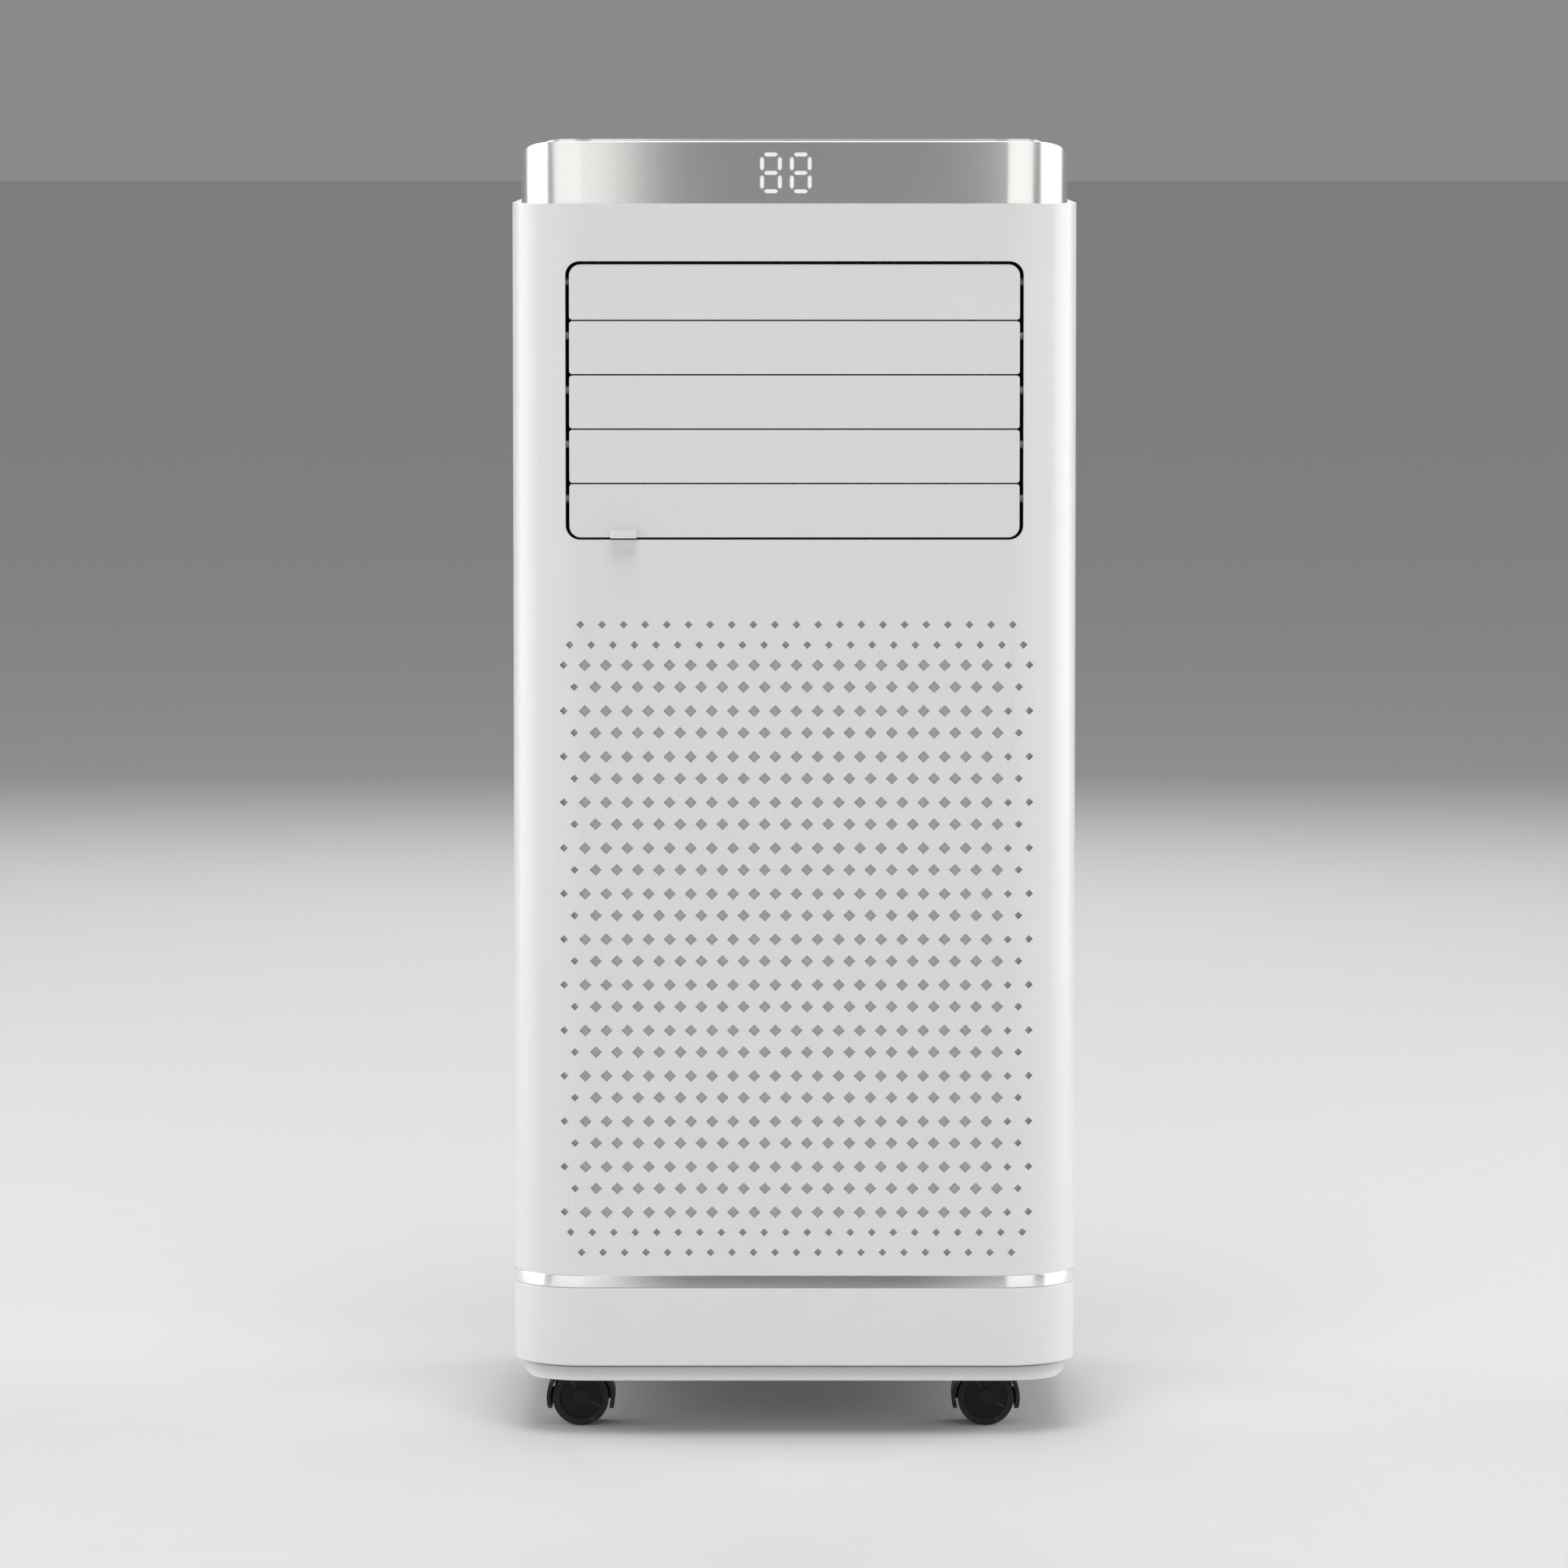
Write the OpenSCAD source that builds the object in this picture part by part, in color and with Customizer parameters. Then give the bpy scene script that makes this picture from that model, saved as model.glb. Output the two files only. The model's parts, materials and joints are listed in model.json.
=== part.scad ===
// Portable air conditioner on casters.
// Millimetres, +Z up, front faces -Y, origin on the floor under the middle of the body.

/* [Casing] */
// Width of the body
body_w = 298; // [290:1:306]
// Depth of the body without tab and collar
body_d = 300; // [292:1:308]
// Radius of the four upright corners
body_r = 38; // [34:1:42]
// Wall of the casings
wall = 2.5; // [2:0.1:3]
// Height where the casings start, on the trim strip
casing_z0 = 87.4; // [86:0.1:88]
// Height of the casings' top ledge
casing_z1 = 653.5; // [653:0.1:655]
// Depth place of the seam between front and rear casing
seam_y = -104; // [-106:1:-100]

/* [Top] */
// Step in from the body to the silver band
band_step = 4.8; // [4:0.1:6]
// Wall of the silver band
band_t = 2.2; // [2:0.1:2.4]
// Top edge of the silver band
band_z1 = 685.6; // [685:0.1:686]
// Top of the recessed top cover
cover_z1 = 684.4; // [684:0.1:685]

/* [Base] */
// Underside of the base pan's rim
pan_z0 = 30.5; // [30:0.1:31]
// Lower edge of the skirt
skirt_z0 = 38.9; // [38.5:0.1:40]
// Lower edge of the trim strip
strip_z0 = 80.8; // [79:0.1:81]
// Step in from the body to the base pan
pan_step = 4.4; // [4:0.1:6]

/* [Air outlet] */
// Width of the outlet opening
outlet_w = 240.6; // [240:0.1:243]
// Lower edge of the outlet opening
outlet_z0 = 477.2; // [476:0.1:478]
// Upper edge of the outlet opening
outlet_z1 = 623.4; // [623:0.1:625]
// Number of blades
blade_n = 5; // [5:1:5]
// Height from one blade to the next
blade_pitch = 28.54; // [28.5:0.01:28.6]
// Length of a blade
blade_w = 236.6; // [236:0.1:237]
// Number of upright vanes
vane_n = 5; // [5:1:5]
// Spacing of the upright vanes
vane_pitch = 40; // [36:1:42]

/* [Intake grille] */
// Corner to corner size of a large diamond hole
hole_big = 6.4; // [6:0.1:6.8]
// Corner to corner size of a small diamond hole
hole_small = 4.2; // [4:0.1:4.4]
// Spacing of the holes along a row
hole_pitch = 11.15; // [11:0.01:11.2]
// Spacing of the wide rows
row_pitch = 24.17; // [24:0.01:24.2]
// Height of the highest wide row
row_top = 411.1; // [410:0.1:412]

/* [Casters] */
// Radius of a caster wheel
wheel_r = 15; // [14.8:0.1:15]
// Distance of a caster stem from the middle plane, sideways
caster_x = 108.4; // [104:0.1:110]
// Distance of a caster stem from the middle plane, in depth
caster_y = 92; // [90:1:106]
// Distance that a wheel trails behind its stem
caster_trail = 5.9; // [5:0.1:7]

/* [Hidden] */

eps = 0.01;
round_fn = 96;
run_gap = 0.05;      // running clearance of a pin in its bore
front_y = -body_d / 2;
back_y = body_d / 2;
back_in = back_y - wall;
seam_gap = 0.4;

white_c = [0.93, 0.93, 0.92];
silver_c = [0.72, 0.72, 0.70];
black_c = [0.10, 0.10, 0.10];
dark_c = [0.22, 0.22, 0.23];
copper_c = [0.72, 0.42, 0.28];
zinc_c = [0.66, 0.68, 0.70];
board_c = [0.10, 0.32, 0.18];

// Outlines -----------------------------------------------------------------

// Rectangle with round corners, about the origin.
module plan(w, d, r) {
    square([w - 2 * r, d], center = true);
    square([w, d - 2 * r], center = true);
    for (sx = [-1, 1], sy = [-1, 1])
        translate([sx * (w / 2 - r), sy * (d / 2 - r)])
            circle(r = r, $fn = round_fn);
}

// The body's outline, moved inwards.
module body_plan(inset) {
    plan(body_w - 2 * inset, body_d - 2 * inset, body_r - inset);
}

// Upright wall that follows the body's outline from z0 to z1.
module body_ring(inset, t, z0, z1) {
    translate([0, 0, z0])
        linear_extrude(z1 - z0)
            difference() {
                body_plan(inset);
                body_plan(inset + t);
            }
}

// Box from corner a to corner b.
module block(a, b) {
    translate(a)
        cube(b - a);
}

// Rod of radius r along an axis, from a to b, at the other two coordinates.
module rod_x(r, x0, x1, y, z) {
    translate([x0, y, z])
        rotate([0, 90, 0])
            cylinder(r = r, h = x1 - x0, $fn = round_fn);
}
module rod_y(r, y0, y1, x, z) {
    translate([x, y1, z])
        rotate([90, 0, 0])
            cylinder(r = r, h = y1 - y0, $fn = round_fn);
}
module rod_z(r, z0, z1, x, y) {
    translate([x, y, z0])
        cylinder(r = r, h = z1 - z0, $fn = round_fn);
}

// Upright shape in X and Z, pushed through from y0 to y1.
module through_y(y0, y1) {
    translate([0, y1, 0])
        rotate([90, 0, 0])
            linear_extrude(y1 - y0)
                children();
}

// Shape in Y and Z, pushed through from x0 to x1.
module through_x(x0, x1) {
    translate([x0, 0, 0])
        rotate([90, 0, 90])
            linear_extrude(x1 - x0)
                children();
}

// Intake grille --------------------------------------------------------------

field_x = 1.1;       // middle of the hole field
rows_a = 13;         // wide rows
holes_a = 23;
row_drop = 11.5;     // from a wide row down to the narrow row under it
end_row_drop = 10.7;

module diamond(size) {
    circle(d = size, $fn = 4);
}

// One row of n holes; the first one and the last few are small.
module hole_row(n, z, pitch, small_end) {
    for (i = [0 : n - 1])
        translate([field_x + (i - (n - 1) / 2) * pitch, z])
            diamond(i == 0 || i >= n - small_end ? hole_small : hole_big);
}

// The whole field, with two small-holed rows above and two below.
module hole_field() {
    last_row = row_top - (rows_a - 1) * row_pitch;
    for (k = [0 : rows_a - 1])
        hole_row(holes_a, row_top - k * row_pitch, hole_pitch, 2);
    for (k = [0 : rows_a - 2])
        hole_row(holes_a - 1, row_top - row_drop - k * row_pitch, hole_pitch, 1);
    for (s = [1, -1], j = [1, 2])
        hole_row(holes_a - j, (s > 0 ? row_top : last_row) + s * j * end_row_drop,
            hole_pitch * 1.02, holes_a);
}

// Casings ---------------------------------------------------------------------

ledge_in = 12;       // how far the top ledge reaches inwards
outlet_mid = (outlet_z0 + outlet_z1) / 2;
outlet_r = 7.5;

// Casing wall with its top ledge.
module casing_wall() {
    body_ring(0, wall, casing_z0, casing_z1);
    body_ring(wall - eps, ledge_in - wall, casing_z1 - wall, casing_z1);
}

module front_casing() {
    color(white_c)
        intersection() {
            difference() {
                casing_wall();
                block([-body_w, seam_y, 0], [body_w, body_d, casing_z1 + 1]);
            }
            through_y(front_y - 1, seam_y + 1)
                difference() {
                    translate([-body_w / 2 - 1, 0])
                        square([body_w + 2, casing_z1 + 1]);
                    translate([0, outlet_mid])
                        plan(outlet_w, outlet_z1 - outlet_z0, outlet_r);
                    hole_field();
                }
        }
}

door_w = 190;        // opening of the filter door
door_z0 = 415;
door_z1 = 620;
collar_x = 34;
collar_z = 312;
collar_r = 63.5;
collar_t = 3;
screw_x = 105;
screw_zs = [100, 225, 380, 640];
rear_split_z = 406;     // where the two rear casings meet
drain_x = -85;
upper_drain_z = 394;
lower_drain_z = 105;
cap_r = 6;
gland_x = 85;
gland_z = 110;
gland_r = 7;
handle_y = 30;
handle_z = 575;
handle_l = 100;
handle_h = 30;

// Rear shell between two heights, with every opening that falls in it.
module rear_shell(z0, z1) {
    color(white_c)
        difference() {
            intersection() {
                casing_wall();
                block([-body_w, seam_y + seam_gap, z0], [body_w, body_d, z1]);
            }
            block([-door_w / 2, back_in - 1, door_z0], [door_w / 2, back_y + 1, door_z1]);
            rod_y(collar_r + collar_t + 0.3, back_in - 1, back_y + 1, collar_x, collar_z);
            rod_y(cap_r + run_gap, back_in - 1, back_y + 1, drain_x, upper_drain_z);
            rod_y(cap_r + run_gap, back_in - 1, back_y + 1, drain_x, lower_drain_z);
            rod_y(gland_r + 0.2, back_in - 1, back_y + 1, gland_x, gland_z);
            for (sx = [-1, 1], z = screw_zs)
                rod_y(2, back_in - 1, back_y + 1, sx * screw_x, z);
            through_x(-body_w, body_w)
                translate([handle_y, handle_z])
                    plan(handle_l, handle_h, 10);
        }
}

module rear_casing() {
    rear_shell(casing_z0, rear_split_z);
}

module upper_rear_casing() {
    rear_shell(rear_split_z + seam_gap, casing_z1);
}

module lower_skirt() {
    color(white_c) {
        body_ring(0, wall, skirt_z0, strip_z0);
        body_ring(wall - eps, 10 - wall, skirt_z0, skirt_z0 + wall);
    }
}

module trim_strip() {
    color(silver_c)
        body_ring(0, 3, strip_z0, casing_z0);
}

boss_r = 9;
boss_z1 = 62;
stem_r = 5.5;
pan_plate_z = 36.4;

// Front view of the base pan: its lower edges turn up at the sides.
module pan_profile() {
    pan_w = body_w - 2 * pan_step;
    edge_r = 8;
    translate([-pan_w / 2, pan_z0 + edge_r])
        square([pan_w, 60]);
    translate([-pan_w / 2 + edge_r, pan_z0])
        square([pan_w - 2 * edge_r, 60]);
    for (sx = [-1, 1])
        translate([sx * (pan_w / 2 - edge_r), pan_z0 + edge_r])
            circle(r = edge_r, $fn = round_fn);
}

module base_pan() {
    color(white_c)
        difference() {
            union() {
                intersection() {
                    body_ring(pan_step, 3, pan_z0, pan_plate_z + 1.5);
                    through_y(-body_d, body_d)
                        pan_profile();
                }
                translate([0, 0, pan_plate_z])
                    linear_extrude(skirt_z0 - pan_plate_z)
                        body_plan(7);
                for (sx = [-1, 1], sy = [-1, 1])
                    rod_z(boss_r, pan_plate_z, boss_z1, sx * caster_x, sy * caster_y);
            }
            for (sx = [-1, 1], sy = [-1, 1])
                rod_z(stem_r + run_gap, pan_z0, boss_z1 + 1, sx * caster_x, sy * caster_y);
        }
}

// Top ---------------------------------------------------------------------------

corner_w = 16;       // the top's left and right ends round off over this width
corner_h = 7.7;      // and this height
corner_steps = 16;

// Front view of the top, with its highest level at z.
module top_profile(z) {
    half = body_w / 2 - band_step;
    arc = [for (i = [0 : corner_steps]) 90 * i / corner_steps];
    polygon(concat(
        [[half, casing_z1 - 1]],
        [for (a = arc) [half - corner_w + corner_w * cos(a), z - corner_h + corner_h * sin(a)]],
        [for (a = arc) [-half + corner_w - corner_w * sin(a), z - corner_h + corner_h * cos(a)]],
        [[-half, casing_z1 - 1]]));
}

digit_w = 11.5;
digit_h = 21.4;
stroke = 2.15;
digit_z = 669.6;
digit_xs = [-12.35, 3.3];
across_gap = 0.9;
upright_gap = 1.1;

// Flat bar with pointed ends, l from tip to tip.
module segment(l) {
    polygon([[-l / 2, 0], [-l / 2 + stroke / 2, stroke / 2], [l / 2 - stroke / 2, stroke / 2],
        [l / 2, 0], [l / 2 - stroke / 2, -stroke / 2], [-l / 2 + stroke / 2, -stroke / 2]]);
}

// Seven bars of both digits.
module digit_bars() {
    across = digit_w - stroke - 2 * across_gap;
    upright = (digit_h - stroke) / 2 - 2 * upright_gap;
    for (x = digit_xs)
        translate([x, digit_z]) {
            for (k = [-1 : 1])
                translate([0, k * (digit_h - stroke) / 2])
                    segment(across);
            for (sx = [-1, 1], sz = [-1, 1])
                translate([sx * (digit_w - stroke) / 2, sz * (digit_h - stroke) / 4])
                    rotate(90)
                        segment(upright);
        }
}

band_y = front_y + band_step;

module top_band() {
    color(silver_c)
        difference() {
            intersection() {
                body_ring(band_step, band_t, casing_z1, band_z1);
                through_y(-body_d, body_d)
                    top_profile(band_z1);
            }
            through_y(band_y - 1, band_y + band_t + 1)
                digit_bars();
        }
}

cover_inset = band_step + band_t + 0.2;
cover_wall = 2;
panel_l = 160;
panel_d = 50;
panel_y = -100;
panel_top = cover_z1 - 0.2;
window_half = 45;    // half width of the gap in the cover's wall behind the display

module top_cover() {
    color(white_c)
        difference() {
            intersection() {
                translate([0, 0, casing_z1])
                    linear_extrude(cover_z1 - casing_z1)
                        body_plan(cover_inset);
                through_y(-body_d, body_d)
                    top_profile(cover_z1);
            }
            intersection() {
                translate([0, 0, casing_z1 - 1])
                    linear_extrude(cover_z1 - casing_z1)
                        body_plan(cover_inset + cover_wall);
                through_y(-body_d, body_d)
                    top_profile(cover_z1 - wall);
            }
            block([-window_half, front_y, casing_z1 - 1], [window_half, -130, guide_z1 + 0.3]);
            translate([0, panel_y, casing_z1])
                linear_extrude(60)
                    plan(panel_l + 0.6, panel_d + 0.6, 6.3);
        }
}

button_r = 7;
button_xs = [for (i = [0 : 5]) -62.5 + 25 * i];
panel_z0 = cover_z1 - wall - 2;
button_under = panel_z0 - 2.3;
switch_top = button_under - 2.3;
board_z1 = switch_top - 3.6;

module control_panel() {
    color(dark_c)
        difference() {
            union() {
                translate([0, panel_y, panel_z0])
                    linear_extrude(panel_top - panel_z0)
                        plan(panel_l, panel_d, 6);
                translate([0, panel_y, panel_z0])
                    linear_extrude(2)
                        plan(panel_l + 6, panel_d + 6, 9);
            }
            for (x = button_xs)
                rod_z(button_r + 0.3, panel_z0 - 1, panel_top + 1, x, panel_y);
        }
}

// Push button i: a cap through the panel and a flange under it.
module button(i) {
    color(zinc_c) {
        rod_z(button_r, button_under, cover_z1, button_xs[i], panel_y);
        rod_z(button_r + 1.5, button_under, panel_z0 - 0.3, button_xs[i], panel_y);
        rod_z(1.5, switch_top + 1.2, button_under + 1, button_xs[i], panel_y);
    }
}

// Board under the buttons, with one switch for each and four posts.
module button_board() {
    color(board_c) {
        block([-75, panel_y - 20, board_z1 - 1.6], [75, panel_y + 20, board_z1]);
        for (x = button_xs)
            block([x - 3, panel_y - 3, board_z1 - eps], [x + 3, panel_y + 3, switch_top]);
        for (sx = [-1, 1], sy = [-1, 1])
            rod_z(2.5, board_z1 - eps, panel_z0, sx * 71, panel_y + sy * 16);
    }
}

guide_y = band_y + band_t;
guide_x0 = -21;
guide_x1 = 12;
guide_z0 = 657;
guide_z1 = 682;

module display_digits() {
    color([0.9, 0.9, 0.89]) {
        through_y(band_y + 0.25, guide_y + eps)
            digit_bars();
        block([guide_x0, guide_y, guide_z0], [guide_x1, guide_y + 2, guide_z1]);
    }
}

module circuit_boards() {
    button_board();
    color(board_c)
        block([-38, guide_y + 2, guide_z0], [28, guide_y + 3.6, guide_z1]);
}

// Air outlet ----------------------------------------------------------------------

frame_t = 2.5;
frame_in_x = outlet_w / 2;
frame_z0 = 474.5;
frame_z1 = 627;
frame_y0 = -144.8;
frame_y1 = -88;
blade_y = front_y + 1.2;
blade_t = 2.5;
blade_gap = 0.8;
blade_top = 621.7;
blade_bottom = 478.4;
first_line = 620.91;     // where the line above the first blade would be
pivot_y = -139.5;
pivot_drop = 8.4;
pin_r = 2;
pin_end = frame_in_x + 2.1;
crank = [7, 8];      // crank pin from the pivot, back and up
crank_r = 1.5;
crank_x = 100;
link_t = 3;
link_w = 5;

// Line between blade k and the one above it, counted from 0 at the top.
function blade_line(k) = first_line - blade_pitch * k;
function blade_pivot(k) = blade_line(k) - pivot_drop;
function blade_z0(k) = k == blade_n - 1 ? blade_bottom : blade_line(k + 1) + blade_gap / 2;
function blade_z1(k) = k == 0 ? blade_top : blade_line(k) - blade_gap / 2;

// Front view of a blade: the outer corners of the first and last blades are rounder.
module blade_outline(k) {
    h = blade_z1(k) - blade_z0(k);
    r_top = k == 0 ? 6 : 1.6;
    r_low = k == blade_n - 1 ? 6 : 1.6;
    translate([0, blade_z0(k)]) {
        translate([-blade_w / 2, r_low])
            square([blade_w, h - r_top - r_low]);
        translate([-blade_w / 2 + r_low, 0])
            square([blade_w - 2 * r_low, h / 2]);
        translate([-blade_w / 2 + r_top, h / 2])
            square([blade_w - 2 * r_top, h / 2]);
        for (sx = [-1, 1]) {
            translate([sx * (blade_w / 2 - r_low), r_low])
                circle(r = r_low, $fn = round_fn);
            translate([sx * (blade_w / 2 - r_top), h - r_top])
                circle(r = r_top, $fn = round_fn);
        }
    }
}

// Side view of the ear that carries an end pin.
module blade_ear() {
    translate([blade_y + blade_t - eps - pivot_y, -3.2])
        square([pivot_y - blade_y - blade_t + eps, 6.4]);
    circle(r = 3.2, $fn = round_fn);
}

// Side view of the arm that carries the crank pin.
module blade_arm() {
    back = blade_y + blade_t - eps - pivot_y;
    polygon([[back, -3], [back, 5], [crank[0] - 1.6, crank[1] + 2.2],
        [crank[0] + 1.6, crank[1] - 2.2]]);
    translate(crank)
        circle(r = 2.8, $fn = round_fn);
}

module louver(k) {
    z = blade_pivot(k);
    color(white_c) {
        through_y(blade_y, blade_y + blade_t)
            blade_outline(k);
        for (sx = [-1, 1])
            through_x(sx > 0 ? blade_w / 2 - 2.5 : -blade_w / 2, sx > 0 ? blade_w / 2 : -blade_w / 2 + 2.5)
                translate([pivot_y, z])
                    blade_ear();
        rod_x(pin_r, blade_w / 2 - 1, pin_end, pivot_y, z);
        rod_x(pin_r, -pin_end, -blade_w / 2 + 1, pivot_y, z);
        through_x(crank_x, crank_x + 2.5)
            translate([pivot_y, z])
                blade_arm();
        rod_x(crank_r, crank_x - link_t - 0.5, crank_x + 1, pivot_y + crank[0], z + crank[1]);
    }
}

// Finger tab at the lower edge of the lowest blade.
tab_x0 = -96.7;
tab_x1 = -82.9;
tab_reach = 8;
tab_t = 3.9;

module louver_tab() {
    tab_r = 1.8;
    color(white_c)
        translate([(tab_x0 + tab_x1) / 2, front_y - tab_reach, blade_bottom]) {
            translate([0, (blade_y - front_y + tab_reach + 1) / 2, 0])
                linear_extrude(tab_t)
                    plan(tab_x1 - tab_x0, blade_y - front_y + tab_reach + 1, tab_r);
        }
}

module louver_link() {
    x1 = crank_x - 0.3;
    color(white_c)
        difference() {
            block([x1 - link_t, pivot_y + crank[0] - link_w / 2, blade_pivot(blade_n - 1) + crank[1] - 5],
                [x1, pivot_y + crank[0] + link_w / 2, blade_pivot(0) + crank[1] + 5]);
            for (k = [0 : blade_n - 1])
                rod_x(crank_r + run_gap, x1 - link_t - 1, x1 + 1, pivot_y + crank[0],
                    blade_pivot(k) + crank[1]);
        }
}

vane_y = -108;
vane_reach = 14;
vane_t = 1.6;
vane_z0 = 484;
vane_z1 = 620;
vane_crank_y = vane_y + 10;
function vane_x(i) = (i - (vane_n - 1) / 2) * vane_pitch;

module outlet_frame() {
    color([0.85, 0.85, 0.84])
        difference() {
            block([-frame_in_x - frame_t, frame_y0, frame_z0 - frame_t],
                [frame_in_x + frame_t, frame_y1, frame_z1 + frame_t]);
            block([-frame_in_x, frame_y0 - 1, frame_z0], [frame_in_x, frame_y1 + 1, frame_z1]);
            for (k = [0 : blade_n - 1])
                rod_x(pin_r + run_gap, -body_w / 2, body_w / 2, pivot_y, blade_pivot(k));
            for (i = [0 : vane_n - 1])
                rod_z(pin_r + run_gap, frame_z0 - 5, frame_z1 + 5, vane_x(i), vane_y);
        }
}

module vane(i) {
    x = vane_x(i);
    color([0.88, 0.88, 0.87]) {
        block([x - vane_t / 2, vane_y - vane_reach, vane_z0],
            [x + vane_t / 2, vane_y + vane_reach, vane_z1]);
        rod_z(pin_r, vane_z1 - 1, frame_z1 + 2.2, x, vane_y);
        rod_z(pin_r, frame_z0 - 2.2, vane_z0 + 1, x, vane_y);
        rod_z(crank_r, 477.5, vane_z0 + 1, x, vane_crank_y);
    }
}

module vane_link() {
    color([0.88, 0.88, 0.87])
        difference() {
            block([vane_x(0) - 5, vane_crank_y - 2.5, 479], [vane_x(vane_n - 1) + 5, vane_crank_y + 2.5, 482]);
            for (i = [0 : vane_n - 1])
                rod_z(crank_r + run_gap, 478, 483, vane_x(i), vane_crank_y);
        }
}

module grille_liner() {
    color([0.82, 0.82, 0.80])
        intersection() {
            body_ring(wall + 0.3, 1.2, 92, 438);
            block([-128, front_y, 90], [128, -130, 440]);
        }
}

// Back ------------------------------------------------------------------------------

slat_n = 15;
door_gap = 0.4;
door_t = 5;

module filter_door() {
    x1 = door_w / 2 - door_gap;
    z0 = door_z0 + door_gap;
    z1 = door_z1 - door_gap;
    rim = 10;
    slat_pitch = (z1 - z0 - 2 * rim) / slat_n;
    color(white_c)
        difference() {
            union() {
                block([-x1, back_y - door_t, z0], [x1, back_y, z1]);
                block([-18, back_y - eps, z1 - 8], [18, back_y + 3, z1 - 4]);
            }
            for (i = [0 : slat_n - 1], sx = [-1, 1])
                block([sx * x1 / 2 - x1 / 2 + 7, back_y - door_t - 1, z0 + rim + (i + 0.2) * slat_pitch],
                    [sx * x1 / 2 + x1 / 2 - 7, back_y + 1, z0 + rim + (i + 0.8) * slat_pitch]);
        }
}

module filter_mesh() {
    color(dark_c)
        block([-88, back_y - door_t - 1.2, door_z0 + 8], [88, back_y - door_t, door_z1 - 8]);
}

housing_back = 118;  // rear face of the exhaust fan housing

module exhaust_collar() {
    color(dark_c)
        difference() {
            union() {
                rod_y(collar_r + collar_t, housing_back, back_y + 8, collar_x, collar_z);
                rod_y(collar_r + 12.5, back_y, back_y + 2.5, collar_x, collar_z);
            }
            rod_y(collar_r, housing_back - 1, back_y + 9, collar_x, collar_z);
        }
}

// Drain plug at height z, with a grip bar across its head.
module drain_cap(z) {
    color(black_c) {
        rod_y(cap_r, back_y - 6.6, back_y + 1, drain_x, z);
        rod_y(cap_r + 4, back_y + 0.3, back_y + 4, drain_x, z);
        block([drain_x - 8, back_y + 3.9, z - 1.5], [drain_x + 8, back_y + 7, z + 1.5]);
    }
}

module cord_gland() {
    bore_r = 3.7;
    color(black_c)
        difference() {
            union() {
                rod_y(gland_r, back_y - 10, back_y + 1, gland_x, gland_z);
                rod_y(gland_r + 3, back_y, back_y + 3, gland_x, gland_z);
                rod_y(bore_r + 1.8, back_y + 2, back_y + 7.5, gland_x, gland_z);
            }
            rod_y(bore_r, back_y - 11, back_y + 9, gland_x, gland_z);
        }
}

// Cup for the fingers, set into each side wall.
module side_handles() {
    face = body_w / 2;
    depth = 20;
    color(dark_c)
        for (m = [0, 1])
            mirror([m, 0, 0])
                difference() {
                    union() {
                        through_x(face - depth - 2, face)
                            translate([handle_y, handle_z])
                                plan(handle_l - 0.4, handle_h - 0.4, 9.8);
                        through_x(face - wall - 2, face - wall)
                            translate([handle_y, handle_z])
                                plan(handle_l + 8, handle_h + 8, 14);
                    }
                    through_x(face - depth, face + 1)
                        translate([handle_y, handle_z])
                            plan(handle_l - 4.4, handle_h - 4.4, 7.8);
                }
}

module casing_screws() {
    color(zinc_c)
        for (sx = [-1, 1], z = screw_zs)
            difference() {
                union() {
                    rod_y(3.5, back_y, back_y + 1.8, sx * screw_x, z);
                    rod_y(1.8, back_y - 6.6, back_y + 1, sx * screw_x, z);
                }
                for (a = [0, 90])
                    translate([sx * screw_x, back_y + 1.8, z])
                        rotate([0, a, 0])
                            cube([4.4, 2, 0.9], center = true);
            }
}

// Inside: upper half ------------------------------------------------------------------

tray_z0 = 385;
pipe_r = 3.2;
riser_x = 128;
liquid_y = -70;
suction_y = 60;

module drip_tray() {
    color([0.80, 0.82, 0.84])
        difference() {
            union() {
                translate([0, 0, tray_z0])
                    linear_extrude(3)
                        body_plan(7);
                body_ring(7, 2, tray_z0 + 3 - eps, tray_z0 + 14);
            }
            rod_z(pipe_r + 2, tray_z0 - 1, tray_z0 + 4, riser_x, liquid_y);
            rod_z(pipe_r + 2, tray_z0 - 1, tray_z0 + 4, -riser_x, suction_y);
            rod_y(3.5, back_y - 12, back_y - 5, drain_x, upper_drain_z);
        }
}

drum_y = 5;
drum_z = 492;
drum_r = 62;
drum_half = 100;
scroll_r = 82;
scroll_t = 2.5;
shaft_r = 4;

// Side view of the blower's snail housing, moved inwards by t; its mouth meets the outlet frame.
module scroll_side(t) {
    translate([drum_y, drum_z])
        circle(r = scroll_r - t, $fn = round_fn);
    translate([frame_y1 - (t > 0 ? 1 : 0), frame_z0 - scroll_t + t])
        square([drum_y - frame_y1 - t, frame_z1 - frame_z0 + 2 * (scroll_t - t)]);
}

module blower_housing() {
    x1 = frame_in_x + frame_t;
    color([0.78, 0.79, 0.80])
        difference() {
            through_x(-x1, x1)
                scroll_side(0);
            through_x(-frame_in_x, frame_in_x)
                scroll_side(scroll_t);
            rod_x(48, -x1 - 1, x1 + 1, drum_y, drum_z);
        }
}

// Drum of n blades between two end rings and a middle disc, along X at the origin.
module drum(r, half, n, disc_x) {
    ring_t = 3;
    blade_h = 10;
    for (x = [-half, half - ring_t])
        difference() {
            rod_x(r, x, x + ring_t, 0, 0);
            rod_x(r - blade_h, x - 1, x + ring_t + 1, 0, 0);
        }
    rod_x(r - 1, disc_x, disc_x + ring_t, 0, 0);
    for (i = [0 : n - 1])
        rotate([360 / n * i, 0, 0])
            translate([-half + 0.5, r - blade_h + 0.5, -0.7])
                cube([2 * half - 1, blade_h - 1, 1.4]);
}

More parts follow.
